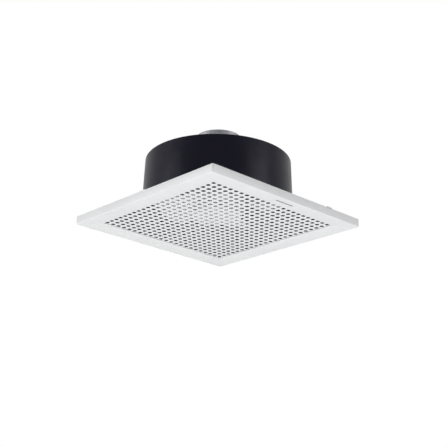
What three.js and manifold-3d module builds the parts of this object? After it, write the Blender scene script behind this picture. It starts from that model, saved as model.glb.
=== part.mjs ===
// Ceiling extractor fan for a bathroom: a square perforated panel under a round moulded
// housing, with an axial impeller on an external can motor that stands proud of the top.
// Millimetres, +Z up, the origin at the centre of the panel's lowest plane.

import * as THREE from 'three';
import { mergeVertices } from 'three/addons/utils/BufferGeometryUtils.js';
import Module from 'manifold-3d';

const wasm = await Module();
wasm.setup();

// ---- driving dimensions --------------------------------------------------------------

const GAP = 0.3;              // clearance between pieces that touch in the real object

const PANEL_HALF = 150;       // half of the 300 mm panel
const PANEL_DEPTH = 12.4;     // face to ceiling side of the panel's rim
const RIM_WALL = 2;           // thickness of the panel's side walls
const FACE_LAND = 4;          // flat strip along the outer edge of the panel's face

const HOLES_PER_SIDE = 23;
const HOLE_PITCH = 10.56;
const HOLE_DIAMETER = 6.6;
const SHEET_Z = 3.2;          // room side of the perforated sheet
const SHEET_THICKNESS = 0.3;
const SHEET_HALF = 124.1;

const SHELL_WALL = 2.2;
const SHELL_BASE_Z = 12.1;
const SHELL_TOP_Z = 100.4;
const SHELL_BASE_RADIUS = 114;
const SHELL_TOP_RADIUS = 111;
const SHELL_FLANGE_RADIUS = 124;

const FLANGE_HALF = 143;      // square mounting flange behind the panel
const FLANGE_Z = 9.8;
const FLANGE_THICKNESS = 2;
const AIRWAY_RADIUS = 110.8;  // round opening in the mounting flange

const THROAT_RADIUS = 99.5;   // narrowest part of the inlet bellmouth
const BLADE_TIP_RADIUS = 97;
const BLADE_COUNT = 5;
const BLADE_THICKNESS = 2.2;
const HUB_RADIUS = 38;
const HUB_FACE_Z = 13.6;
const HUB_TOP_Z = 52;
const HUB_CAP_RADIUS = 15;
const HUB_CAP_THICKNESS = 2.4;

const GUARD_Z = 95.5;         // discharge guard, seated inside the top of the shell
const GUARD_THICKNESS = 3;
const GUARD_RADIUS = 108.1;
const GUARD_ARMS = 8;
const GUARD_ARM_WIDTH = 7;
const GUARD_HUB_RADIUS = 49;
const GUARD_RIM_RADIUS = 102;

const MOTOR_RADIUS = 36;
const MOTOR_WALL = 1.5;
const MOTOR_BASE_Z = 66;
const MOTOR_TOP_Z = 142.2;
const MOTOR_FLANGE_RADIUS = 46.5;
const MOTOR_SCREW_CIRCLE = 41.4;
const MOTOR_LEAD_Z = 119.5;   // height of the lead that leaves the can
const SHAFT_RADIUS = 4;

const PEG_OFFSET = 128;       // corner pegs that hold the panel to the mounting flange
const PEG_RADIUS = 4;
const PEG_TOP_Z = 17.4;
const PEG_SIDES = 12;

const BOX_CENTRE_RADIUS = 81; // terminal box, on the guard at 45 degrees
const BOX_SIZE = [56, 38, 26];
const BOX_WALL = 2;

// ---- materials -----------------------------------------------------------------------

function material(colour, roughness, metalness) {
  return () => new THREE.MeshStandardMaterial({ color: colour, roughness, metalness });
}

const whitePlastic = material(0xe8eaeb, 0.45, 0);
const whiteSheet = material(0xe6e7e9, 0.5, 0.1);
const blackPlastic = material(0x1c1b26, 0.35, 0);
const greyPlastic = material(0xbcbec1, 0.5, 0);
const motorSteel = material(0x8f8f94, 0.45, 0.8);
const springSteel = material(0xb9bbbd, 0.35, 0.9);
const zincSteel = material(0xa9adb0, 0.4, 0.9);
const copper = material(0xa8572c, 0.4, 0.8);
const laminatedSteel = material(0x54565a, 0.6, 0.8);
const brass = material(0xb5903f, 0.35, 0.9);
const paleInsulator = material(0xd8d2bf, 0.6, 0);

// ---- solids --------------------------------------------------------------------------

// Leaves only positions, joins shared corners, drops empty triangles and turns the faces out.
function closedMesh(geometry) {
  const bare = geometry.clone();
  bare.deleteAttribute('normal');
  bare.deleteAttribute('uv');
  const merged = mergeVertices(bare, 1e-4);
  const corners = merged.index.array;
  const position = merged.attributes.position;
  const kept = [];
  let sixVolumes = 0;
  const a = new THREE.Vector3();
  const b = new THREE.Vector3();
  const c = new THREE.Vector3();
  for (let i = 0; i < corners.length; i += 3) {
    const [p, q, r] = [corners[i], corners[i + 1], corners[i + 2]];
    if (p === q || q === r || r === p) continue;
    kept.push(p, q, r);
    a.fromBufferAttribute(position, p);
    b.fromBufferAttribute(position, q);
    c.fromBufferAttribute(position, r);
    sixVolumes += a.dot(b.cross(c));
  }
  if (sixVolumes < 0) kept.reverse();
  merged.setIndex(kept);
  return merged;
}

function toSolid(geometry) {
  const mesh = closedMesh(geometry);
  return new wasm.Manifold(new wasm.Mesh({
    numProp: 3,
    vertProperties: new Float32Array(mesh.attributes.position.array),
    triVerts: new Uint32Array(mesh.index.array),
  }));
}

function toGeometry(solid) {
  const mesh = solid.getMesh();
  const geometry = new THREE.BufferGeometry();
  geometry.setAttribute('position', new THREE.BufferAttribute(mesh.vertProperties, 3));
  geometry.setIndex(new THREE.BufferAttribute(mesh.triVerts, 1));
  geometry.computeVertexNormals();
  return geometry;
}

function cut(body, ...tools) {
  return toGeometry(tools.reduce((rest, tool) => rest.subtract(toSolid(tool)), toSolid(body)));
}

function fuse(first, ...others) {
  return toGeometry(others.reduce((sum, other) => sum.add(toSolid(other)), toSolid(first)));
}

function at(geometry, x, y, z) {
  return geometry.translate(x, y, z);
}

// A profile of [radius, height] points turned about +Z.
function turned(profile, segments) {
  const points = profile.map(([radius, height]) => new THREE.Vector2(radius, height));
  return closedMesh(new THREE.LatheGeometry(points, segments).rotateX(Math.PI / 2));
}

// A closed ring, whose last profile point joins its first.
function ring(profile, segments) {
  return turned([...profile, profile[0]], segments);
}

function tube(inner, outer, low, high, segments) {
  return ring([[inner, low], [outer, low], [outer, high], [inner, high]], segments);
}

// A square ring with mitred corners: the profile gives [half width, height].
function squareRing(profile) {
  const stretched = profile.map(([half, height]) => [half * Math.SQRT2, height]);
  return ring(stretched, 4).rotateZ(Math.PI / 4);
}

function plate(shape, low, high) {
  const settings = { depth: high - low, bevelEnabled: false };
  return new THREE.ExtrudeGeometry(shape, settings).translate(0, 0, low);
}

function disc(radius, low, high, segments) {
  const cylinder = new THREE.CylinderGeometry(radius, radius, high - low, segments);
  return cylinder.rotateX(Math.PI / 2).translate(0, 0, (low + high) / 2);
}

function block(sizeX, sizeY, low, high) {
  return new THREE.BoxGeometry(sizeX, sizeY, high - low).translate(0, 0, (low + high) / 2);
}

function square(half) {
  const shape = new THREE.Shape();
  shape.moveTo(-half, -half);
  shape.lineTo(half, -half);
  shape.lineTo(half, half);
  shape.lineTo(-half, half);
  shape.closePath();
  return shape;
}

// Points along an arc about (x, y), from one angle to another in radians, ends included.
function arcPoints(x, y, radius, from, to, steps) {
  const points = [];
  for (let i = 0; i <= steps; i += 1) {
    const angle = from + (to - from) * i / steps;
    points.push(new THREE.Vector2(x + radius * Math.cos(angle), y + radius * Math.sin(angle)));
  }
  return points;
}

function circlePoints(x, y, radius, segments) {
  return arcPoints(x, y, radius, 0, 2 * Math.PI, segments).slice(0, -1);
}

function roundHole(x, y, radius, segments) {
  return new THREE.Path(circlePoints(x, y, radius, segments));
}

// Points of a quarter round from one angle to another, in degrees.
function roundCorner(centreRadius, centreHeight, radius, from, to, steps) {
  const points = [];
  for (let i = 0; i <= steps; i += 1) {
    const angle = THREE.MathUtils.degToRad(from + (to - from) * i / steps);
    points.push([centreRadius + radius * Math.cos(angle), centreHeight + radius * Math.sin(angle)]);
  }
  return points;
}

// A pan-head screw pointing down, with its head's underside at the given height.
function screw(headRadius, shankRadius, length, seatZ) {
  const headHeight = headRadius * 0.6;
  return turned([
    [0, seatZ - length],
    [shankRadius, seatZ - length + shankRadius * 0.5],
    [shankRadius, seatZ],
    [headRadius, seatZ],
    [headRadius, seatZ + headHeight * 0.6],
    [headRadius * 0.6, seatZ + headHeight],
    [0, seatZ + headHeight],
  ], 8);
}

function onCircle(radius, degrees) {
  const angle = THREE.MathUtils.degToRad(degrees);
  return [radius * Math.cos(angle), radius * Math.sin(angle)];
}

const fan = new THREE.Group();

function addPiece(name, geometry, makeMaterial) {
  const mesh = new THREE.Mesh(closedMesh(geometry), makeMaterial());
  mesh.name = name;
  mesh.geometry.computeVertexNormals();
  fan.add(mesh);
  return mesh;
}

// ---- the panel -----------------------------------------------------------------------

const CORNERS = [[-1, -1], [1, -1], [1, 1], [-1, 1]];

// The border slopes up to a thin lip that carries the sheet; four pegs stand on its back.
function grilleFrame() {
  const bevel = 0.8;
  const backZ = 2.2;
  const lipLowZ = 2;
  const lipEnd = SHEET_HALF - 3.5;
  const sheetEdge = SHEET_HALF + GAP;
  const border = squareRing([
    [PANEL_HALF - bevel, 0],
    [PANEL_HALF, bevel],
    [PANEL_HALF, PANEL_DEPTH],
    [PANEL_HALF - RIM_WALL, PANEL_DEPTH],
    [PANEL_HALF - RIM_WALL, backZ],
    [sheetEdge, SHEET_Z + SHEET_THICKNESS],
    [sheetEdge, SHEET_Z - GAP],
    [lipEnd, SHEET_Z - GAP],
    [lipEnd, lipLowZ],
    [PANEL_HALF - FACE_LAND, 0],
  ]);
  const pegLowZ = 2.6;
  const pegTaper = 2;
  const pegs = CORNERS.map(([sx, sy]) => at(turned([
    [0, pegLowZ],
    [PEG_RADIUS, pegLowZ],
    [PEG_RADIUS, PEG_TOP_Z - pegTaper],
    [PEG_RADIUS - pegTaper, PEG_TOP_Z],
    [0, PEG_TOP_Z],
  ], PEG_SIDES), sx * PEG_OFFSET, sy * PEG_OFFSET, 0));
  return fuse(border, ...pegs);
}

// Every hole is four-sided here, with the open area of the round one.
function grilleSheet() {
  const shape = square(SHEET_HALF);
  const corner = HOLE_DIAMETER / 2 * Math.sqrt(Math.PI / 2);
  const middle = (HOLES_PER_SIDE - 1) / 2;
  for (let row = 0; row < HOLES_PER_SIDE; row += 1) {
    for (let column = 0; column < HOLES_PER_SIDE; column += 1) {
      const x = (column - middle) * HOLE_PITCH;
      const y = (row - middle) * HOLE_PITCH;
      const hole = new THREE.Path();
      hole.moveTo(x + corner, y);
      hole.lineTo(x, y - corner);
      hole.lineTo(x - corner, y);
      hole.lineTo(x, y + corner);
      hole.closePath();
      shape.holes.push(hole);
    }
  }
  return plate(shape, SHEET_Z, SHEET_Z + SHEET_THICKNESS);
}

addPiece('grille_frame', grilleFrame(), whitePlastic);
addPiece('grille_sheet', grilleSheet(), whiteSheet);

// Bars that clamp the sheet's edges to the back of the border.
const STRIP_THICKNESS = 1.2;
const RETAINER_SIZE = [10, 64];
const RETAINER_OFFSET = SHEET_HALF + 1.1;
for (let side = 0; side < 4; side += 1) {
  const low = SHEET_Z + SHEET_THICKNESS + GAP;
  const strip = block(...RETAINER_SIZE, low, low + STRIP_THICKNESS);
  const bar = at(strip, RETAINER_OFFSET, 0, 0).rotateZ(side * Math.PI / 2);
  addPiece(`sheet_retainer_${side + 1}`, bar, greyPlastic);
}

// A blank bar stands where a badge would be, proud of the sloping border.
const BADGE_SIZE = [33, 1.6];
const BADGE_Y = -137.4;
addPiece('badge_bar', at(block(...BADGE_SIZE, 0.05, 0.45), 0, BADGE_Y, 0), greyPlastic);

// Low lugs clipped over the front and rear rims.
const LUG_LENGTH = 10;
const LUG_X = 83;
for (const [name, turn] of [['rim_lug_front', 0], ['rim_lug_rear', Math.PI]]) {
  const low = PANEL_DEPTH + GAP;
  const strip = block(LUG_LENGTH, RIM_WALL, low, low + STRIP_THICKNESS);
  addPiece(name, at(strip, LUG_X, RIM_WALL / 2 - PANEL_HALF, 0).rotateZ(turn), whitePlastic);
}

// ---- the mounting flange -------------------------------------------------------------

const FLANGE_SCREW_ANGLES = [20, 110, 200, 290];
const FLANGE_SCREW_CIRCLE = 119;
const FLANGE_PILOT_RADIUS = 1.9;
const CEILING_SCREW_PLACE = [75, 132];
const CEILING_SCREW_RADIUS = 2.6;

// Holes for the pegs, for the screws up into the ceiling and for those that hold the shell.
function mountingFlange() {
  const shape = square(FLANGE_HALF);
  shape.holes.push(roundHole(0, 0, AIRWAY_RADIUS, 40));
  CORNERS.forEach(([sx, sy]) => {
    const [x, y] = CEILING_SCREW_PLACE;
    shape.holes.push(roundHole(sx * PEG_OFFSET, sy * PEG_OFFSET, PEG_RADIUS + 2 * GAP, PEG_SIDES));
    shape.holes.push(roundHole(sx * x, sy * y, CEILING_SCREW_RADIUS, 8));
  });
  const body = plate(shape, FLANGE_Z, FLANGE_Z + FLANGE_THICKNESS);
  const pilots = FLANGE_SCREW_ANGLES.map((degrees) => {
    const [x, y] = onCircle(FLANGE_SCREW_CIRCLE, degrees);
    return at(disc(FLANGE_PILOT_RADIUS, FLANGE_Z - 1, FLANGE_Z + FLANGE_THICKNESS + 1, 8), x, y, 0);
  });
  return cut(body, ...pilots);
}

addPiece('mounting_flange', mountingFlange(), blackPlastic);

CORNERS.forEach(([sx, sy], index) => {
  const low = FLANGE_Z + FLANGE_THICKNESS + GAP;
  const bore = PEG_RADIUS + GAP;
  const wall = 2.1;
  const collarRadius = 9;
  const collarHeight = 1.6;
  const height = 6.4;
  const sleeve = ring([
    [bore, low],
    [collarRadius, low],
    [collarRadius, low + collarHeight],
    [bore + wall, low + collarHeight],
    [bore + wall, low + height],
    [bore, low + height],
  ], PEG_SIDES);
  addPiece(`peg_socket_${index + 1}`, at(sleeve, sx * PEG_OFFSET, sy * PEG_OFFSET, 0), blackPlastic);
});

// Spring catches that press on the panel's left and right walls, each on its own bracket.
const CATCH_PIVOT = 144.2;
const CATCH_HALF_WIDTH = 5;
const BRACKET_SIZE = [12.8, 14];
for (const [name, turn] of [['left', Math.PI], ['right', 0]]) {
  const low = FLANGE_Z + FLANGE_THICKNESS + GAP;
  const foot = block(...BRACKET_SIZE, low, low + STRIP_THICKNESS);
  addPiece(`catch_bracket_${name}`, at(foot, CATCH_PIVOT - 6, 0, 0).rotateZ(turn), zincSteel);
  const tongue = new THREE.Shape();
  tongue.moveTo(CATCH_PIVOT + 0.8, 4.8);
  tongue.lineTo(CATCH_PIVOT + 2.2, 5.6);
  tongue.lineTo(CATCH_PIVOT + 2.2, 15.6);
  tongue.lineTo(CATCH_PIVOT - 0.6, 15.6);
  tongue.lineTo(CATCH_PIVOT - 0.6, 14.4);
  tongue.lineTo(CATCH_PIVOT + 0.8, 14.4);
  tongue.closePath();
  const strip = plate(tongue, -CATCH_HALF_WIDTH, CATCH_HALF_WIDTH);
  strip.rotateX(Math.PI / 2).rotateZ(turn);
  addPiece(`catch_${name}`, strip, springSteel);
}

// ---- the housing ---------------------------------------------------------------------

function shellRadius(z) {
  const share = (z - SHELL_BASE_Z) / (SHELL_TOP_Z - SHELL_BASE_Z);
  return SHELL_BASE_RADIUS + (SHELL_TOP_RADIUS - SHELL_BASE_RADIUS) * share;
}

// A tapered wall with a turned-out flange below and a ledge for the guard above.
function housingShell() {
  const edge = 1.6;
  const flangeThickness = 2;
  const ledgeRadius = GUARD_RADIUS - 4;
  const ledgeThickness = 2;
  const seatZ = GUARD_Z - GAP;
  const body = ring([
    [SHELL_BASE_RADIUS - SHELL_WALL, SHELL_BASE_Z],
    [SHELL_FLANGE_RADIUS, SHELL_BASE_Z],
    [SHELL_FLANGE_RADIUS, SHELL_BASE_Z + flangeThickness],
    [shellRadius(SHELL_BASE_Z + flangeThickness), SHELL_BASE_Z + flangeThickness],
    [shellRadius(SHELL_TOP_Z - edge), SHELL_TOP_Z - edge],
    [SHELL_TOP_RADIUS - edge * 0.3, SHELL_TOP_Z - edge * 0.3],
    [SHELL_TOP_RADIUS - edge, SHELL_TOP_Z],
    [SHELL_TOP_RADIUS - SHELL_WALL, SHELL_TOP_Z],
    [SHELL_TOP_RADIUS - SHELL_WALL, seatZ],
    [ledgeRadius, seatZ],
    [ledgeRadius, seatZ - ledgeThickness],
    [shellRadius(seatZ - ledgeThickness) - SHELL_WALL, seatZ - ledgeThickness],
  ], 40);
  const pilots = FLANGE_SCREW_ANGLES.map((degrees) => {
    const [x, y] = onCircle(FLANGE_SCREW_CIRCLE, degrees);
    return at(disc(FLANGE_PILOT_RADIUS, SHELL_BASE_Z - 1, SHELL_BASE_Z + 3, 8), x, y, 0);
  });
  return cut(body, ...pilots);
}

addPiece('housing_shell', housingShell(), blackPlastic);

FLANGE_SCREW_ANGLES.forEach((degrees, index) => {
  const [x, y] = onCircle(FLANGE_SCREW_CIRCLE, degrees);
  const geometry = at(screw(3.2, 1.6, 5, SHELL_BASE_Z + 2 + GAP), x, y, 0);
  addPiece(`flange_screw_${index + 1}`, geometry, zincSteel);
});

// The bellmouth that leads the air onto the blade tips.
function inletRing() {
  const wall = 1.8;
  const lowZ = 14.4;
  const highZ = 56;
  const bend = 11;
  const mouth = roundCorner(THROAT_RADIUS + bend, lowZ + bend, bend, 270, 180, 3);
  const back = roundCorner(THROAT_RADIUS + bend, lowZ + bend, bend - wall, 180, 270, 3);
  return ring([...mouth, [THROAT_RADIUS, highZ], [THROAT_RADIUS + wall, highZ], ...back], 40);
}

addPiece('inlet_ring', inletRing(), blackPlastic);

// One open sector of the guard, between two arms.
function guardSector(inner, outer, index) {
  const centre = (index + 0.5) * 2 * Math.PI / GUARD_ARMS;
  const reach = Math.PI / GUARD_ARMS;
  const innerReach = reach - GUARD_ARM_WIDTH / 2 / inner;
  const outerReach = reach - GUARD_ARM_WIDTH / 2 / outer;
  return new THREE.Path([
    ...arcPoints(0, 0, outer, centre - outerReach, centre + outerReach, 4),
    ...arcPoints(0, 0, inner, centre + innerReach, centre - innerReach, 4),
  ]);
}

const MOTOR_SCREW_ANGLES = [0, 90, 180, 270];
const MOTOR_SCREW_HOLE = 2;

function dischargeGuard() {
  const shape = new THREE.Shape(circlePoints(0, 0, GUARD_RADIUS, 40));
  shape.holes.push(roundHole(0, 0, MOTOR_RADIUS + 2 * GAP, 24));
  MOTOR_SCREW_ANGLES.forEach((degrees) => {
    shape.holes.push(roundHole(...onCircle(MOTOR_SCREW_CIRCLE, degrees), MOTOR_SCREW_HOLE, 8));
  });
  for (let index = 0; index < GUARD_ARMS; index += 1) {
    shape.holes.push(guardSector(GUARD_HUB_RADIUS, GUARD_RIM_RADIUS, index));
  }
  return plate(shape, GUARD_Z, GUARD_Z + GUARD_THICKNESS);
}

addPiece('discharge_guard', dischargeGuard(), blackPlastic);

// ---- the motor -----------------------------------------------------------------------

const MOTOR_FLANGE_Z = GUARD_Z + GUARD_THICKNESS + GAP;
const MOTOR_JOINT_Z = MOTOR_FLANGE_Z + MOTOR_WALL + GAP;
const BEARING_RADIUS = 9.5;
const BEARING_HEIGHT = 5;
const SEAT_WALL = 1.5;
const LEAD_HOLE_RADIUS = 3.2;

function motorScrewHoles(low, high) {
  return MOTOR_SCREW_ANGLES.map((degrees) => {
    return at(disc(MOTOR_SCREW_HOLE, low, high, 8), ...onCircle(MOTOR_SCREW_CIRCLE, degrees), 0);
  });
}

function motorCanLower() {
  const inner = MOTOR_RADIUS - MOTOR_WALL;
  const floorZ = MOTOR_BASE_Z + MOTOR_WALL;
  const seat = BEARING_RADIUS + GAP;
  const top = MOTOR_FLANGE_Z + MOTOR_WALL;
  const outerBend = 3;
  const innerBend = 2;
  const shaftHole = SHAFT_RADIUS + 1;
  const body = ring([
    [shaftHole, MOTOR_BASE_Z],
    [MOTOR_RADIUS - outerBend, MOTOR_BASE_Z],
    [MOTOR_RADIUS, MOTOR_BASE_Z + outerBend],
    [MOTOR_RADIUS, MOTOR_FLANGE_Z],
    [MOTOR_FLANGE_RADIUS, MOTOR_FLANGE_Z],
    [MOTOR_FLANGE_RADIUS, top],
    [inner, top],
    [inner, floorZ + innerBend],
    [inner - innerBend, floorZ],
    [seat + SEAT_WALL, floorZ],
    [seat + SEAT_WALL, floorZ + BEARING_HEIGHT],
    [seat, floorZ + BEARING_HEIGHT],
    [seat, floorZ],
    [shaftHole, floorZ],
  ], 24);
  return cut(body, ...motorScrewHoles(MOTOR_FLANGE_Z - 1, top + 1));
}

// A drum with a rounded top edge and a low bearing boss.
function motorCanUpper() {
  const inner = MOTOR_RADIUS - MOTOR_WALL;
  const ceiling = MOTOR_TOP_Z - MOTOR_WALL;
  const bend = 2;
  const bossRadius = 10;
  const bossHeight = 1.6;
  const seat = BEARING_RADIUS + GAP;
  const seatLow = ceiling - BEARING_HEIGHT - 3;
  const shoulder = roundCorner(MOTOR_RADIUS - bend, MOTOR_TOP_Z - bend, bend, 0, 90, 3);
  const profile = [
    [0, ceiling],
    [seat, ceiling],
    [seat, seatLow],
    [seat + SEAT_WALL, seatLow],
    [seat + SEAT_WALL, ceiling],
    [inner - bend, ceiling],
    [inner, ceiling - bend],
    [inner, MOTOR_JOINT_Z],
    [MOTOR_FLANGE_RADIUS, MOTOR_JOINT_Z],
    [MOTOR_FLANGE_RADIUS, MOTOR_JOINT_Z + MOTOR_WALL],
    [MOTOR_RADIUS, MOTOR_JOINT_Z + MOTOR_WALL],
    ...shoulder,
    [bossRadius + 2, MOTOR_TOP_Z],
    [bossRadius, MOTOR_TOP_Z + bossHeight],
    [0, MOTOR_TOP_Z + bossHeight],
  ];
  const lead = disc(LEAD_HOLE_RADIUS, 0, 12, 10).rotateY(Math.PI / 2);
  const leadHole = at(lead, MOTOR_RADIUS - 6, 0, MOTOR_LEAD_Z).rotateZ(Math.PI / 4);
  const holes = motorScrewHoles(MOTOR_JOINT_Z - 1, MOTOR_JOINT_Z + MOTOR_WALL + 1);
  return cut(turned(profile, 28), leadHole, ...holes);
}

addPiece('motor_can_lower', motorCanLower(), motorSteel);
addPiece('motor_can_upper', motorCanUpper(), motorSteel);

MOTOR_SCREW_ANGLES.forEach((degrees, index) => {
  const geometry = screw(3.4, 1.7, 9.5, MOTOR_JOINT_Z + MOTOR_WALL + GAP);
  const placed = at(geometry, ...onCircle(MOTOR_SCREW_CIRCLE, degrees), 0);
  addPiece(`motor_screw_${index + 1}`, placed, zincSteel);
});

const CORE_LOW_Z = 88;
const CORE_HIGH_Z = 116;
const ROTOR_RADIUS = 17.7;
const AIR_GAP = 0.5;
const coreOuter = MOTOR_RADIUS - MOTOR_WALL - GAP;
const statorCore = tube(ROTOR_RADIUS + AIR_GAP, coreOuter, CORE_LOW_Z, CORE_HIGH_Z, 20);
addPiece('stator_core', statorCore, laminatedSteel);

const WINDING_HEIGHT = 9.3;

function winding(low, high) {
  const round = 2.5;
  const inside = 20;
  const outside = 29;
  return ring([
    [inside + round, low],
    [outside - round, low],
    [outside, low + round],
    [outside, high - round],
    [outside - round, high],
    [inside + round, high],
    [inside, high - round],
    [inside, low + round],
  ], 16);
}

addPiece('winding_lower', winding(CORE_LOW_Z - WINDING_HEIGHT, CORE_LOW_Z - GAP), copper);
addPiece('winding_upper', winding(CORE_HIGH_Z + GAP, CORE_HIGH_Z + WINDING_HEIGHT), copper);

const bearingLowZ = MOTOR_BASE_Z + MOTOR_WALL + GAP;
const bearingHighZ = MOTOR_TOP_Z - MOTOR_WALL - BEARING_HEIGHT - 2;
const bearings = [['bearing_lower', bearingLowZ], ['bearing_upper', bearingHighZ]];
for (const [name, low] of bearings) {
  const bearing = tube(SHAFT_RADIUS + GAP, BEARING_RADIUS, low, low + BEARING_HEIGHT - GAP, 16);
  addPiece(name, bearing, zincSteel);
}

// ---- the rotating parts --------------------------------------------------------------

const SHAFT_LOW_Z = 16.6;
const SHAFT_HIGH_Z = bearingHighZ + BEARING_HEIGHT + 0.6;
addPiece('motor_shaft', disc(SHAFT_RADIUS, SHAFT_LOW_Z, SHAFT_HIGH_Z, 16), zincSteel);
const rotorCore = tube(SHAFT_RADIUS + GAP, ROTOR_RADIUS, CORE_LOW_Z, CORE_HIGH_Z, 16);
addPiece('rotor_core', rotorCore, laminatedSteel);

// A cup whose skirt shrouds the drive end, with a recess for the nut and a boss on the shaft.
function impellerHub() {
  const skirt = 2;
  const bend = 3;
  const recess = HUB_CAP_RADIUS + GAP;
  const recessFloor = 20.4;
  const bossRadius = 9;
  const bossTop = 36;
  const web = HUB_FACE_Z + HUB_CAP_THICKNESS;
  const edge = roundCorner(HUB_RADIUS - bend, HUB_FACE_Z + bend, bend, 270, 360, 2);
  return ring([
    [recess, HUB_FACE_Z],
    ...edge,
    [HUB_RADIUS, HUB_TOP_Z],
    [HUB_RADIUS - skirt, HUB_TOP_Z],
    [HUB_RADIUS - skirt, web + 2],
    [HUB_RADIUS - skirt - 2, web],
    [recess + 2, web],
    [recess + 2, recessFloor + 2],
    [bossRadius, recessFloor + 2],
    [bossRadius, bossTop],
    [SHAFT_RADIUS + GAP, bossTop],
    [SHAFT_RADIUS + GAP, recessFloor],
    [recess, recessFloor],
  ], 32);
}

// A twisted blade: each station runs from its low leading edge up and round to its trailing edge.
const BLADE = {
  startDegrees: 2,
  sweepDegrees: 15,
  rootZ: 25.5,
  tipZ: 28,
  rootRise: 22,
  tipRise: 20,
  rootSpanDegrees: 64,
  tipSpanDegrees: 52,
  camber: 0.1,
};

function bladeCentre(share, chord) {
  const mix = THREE.MathUtils.lerp;
  const radius = mix(HUB_RADIUS - 1, BLADE_TIP_RADIUS, share);
  const span = mix(BLADE.rootSpanDegrees, BLADE.tipSpanDegrees, share);
  const bowed = chord + BLADE.camber * chord * (1 - chord);
  const degrees = BLADE.startDegrees + BLADE.sweepDegrees * share + span * bowed;
  const rise = mix(BLADE.rootRise, BLADE.tipRise, share);
  const [x, y] = onCircle(radius, degrees);
  return new THREE.Vector3(x, y, mix(BLADE.rootZ, BLADE.tipZ, share) + rise * chord);
}

// Sets a grid point off the centre surface along its normal, thinner towards both edges.
function bladePoint(share, chord, side) {
  const step = 0.01;
  const centre = bladeCentre(share, chord);
  const across = bladeCentre(share, chord + step).sub(bladeCentre(share, chord - step));
  const along = bladeCentre(share + step, chord).sub(bladeCentre(share - step, chord));
  const normal = along.cross(across).normalize();
  const half = BLADE_THICKNESS / 2 * (0.45 + 0.55 * Math.sin(Math.PI * chord));
  return centre.addScaledVector(normal, side * half);
}

function impellerBlade(spanSteps, chordSteps) {
  const positions = [];
  const triangles = [];
  const columns = chordSteps + 1;
  const layer = (spanSteps + 1) * columns;
  for (const side of [1, -1]) {
    for (let i = 0; i <= spanSteps; i += 1) {
      for (let j = 0; j <= chordSteps; j += 1) {
        positions.push(...bladePoint(i / spanSteps, j / chordSteps, side).toArray());
      }
    }
  }
  const quad = (a, b, c, d) => triangles.push(a, b, c, a, c, d);
  for (let i = 0; i < spanSteps; i += 1) {
    for (let j = 0; j < chordSteps; j += 1) {
      const a = i * columns + j;
      quad(a, a + 1, a + columns + 1, a + columns);
      quad(layer + a, layer + a + columns, layer + a + columns + 1, layer + a + 1);
    }
  }
  for (let i = 0; i < spanSteps; i += 1) {
    const a = i * columns;
    const b = a + chordSteps;
    quad(a, a + columns, layer + a + columns, layer + a);
    quad(b, layer + b, layer + b + columns, b + columns);
  }
  for (let j = 0; j < chordSteps; j += 1) {
    const b = spanSteps * columns + j;
    quad(j, layer + j, layer + j + 1, j + 1);
    quad(b, b + 1, layer + b + 1, layer + b);
  }
  const geometry = new THREE.BufferGeometry();
  geometry.setAttribute('position', new THREE.Float32BufferAttribute(positions, 3));
  geometry.setIndex(triangles);
  return geometry;
}

function impeller() {
  const blade = impellerBlade(4, 5);
  const blades = [];
  for (let index = 0; index < BLADE_COUNT; index += 1) {
    blades.push(blade.clone().rotateZ(index * 2 * Math.PI / BLADE_COUNT));
  }
  return fuse(impellerHub(), ...blades);
}

addPiece('impeller', impeller(), whitePlastic);

const NUT_LOW_Z = 16.6;
const CAP_BEVEL = 1.4;
const hubCap = turned([
  [0, HUB_FACE_Z],
  [HUB_CAP_RADIUS - CAP_BEVEL, HUB_FACE_Z],
  [HUB_CAP_RADIUS, HUB_FACE_Z + CAP_BEVEL],
  [HUB_CAP_RADIUS, HUB_FACE_Z + HUB_CAP_THICKNESS],
  [0, HUB_FACE_Z + HUB_CAP_THICKNESS],
], 24);
addPiece('hub_cap', hubCap, whitePlastic);

function impellerNut() {
  const shape = new THREE.Shape(circlePoints(0, 0, 7, 6));
  shape.holes.push(roundHole(0, 0, SHAFT_RADIUS + GAP, 16));
  return plate(shape, NUT_LOW_Z, NUT_LOW_Z + 3.5);
}

addPiece('impeller_nut', impellerNut(), brass);

// ---- the terminal box ----------------------------------------------------------------

const BOX_BASE_Z = GUARD_Z + GUARD_THICKNESS + GAP;
const BOX_TURN = Math.PI / 4;
const GLAND_Z = BOX_BASE_Z + 12;
const GLAND_NECK_RADIUS = 6;
const [BOX_LENGTH, BOX_DEPTH, BOX_HEIGHT] = BOX_SIZE;
const COVER_SCREW_X = 2 + BOX_WALL - BOX_DEPTH / 2;
const COVER_SCREW_Y = BOX_LENGTH / 2 - BOX_WALL - 2;

// Built about the box's own centre, then carried out to its place on the guard.
function toBoxPlace(geometry) {
  return at(geometry, BOX_CENTRE_RADIUS, 0, 0).rotateZ(BOX_TURN);
}

function sideways(radius, length, segments) {
  return disc(radius, 0, length, segments).rotateY(Math.PI / 2);
}

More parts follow.
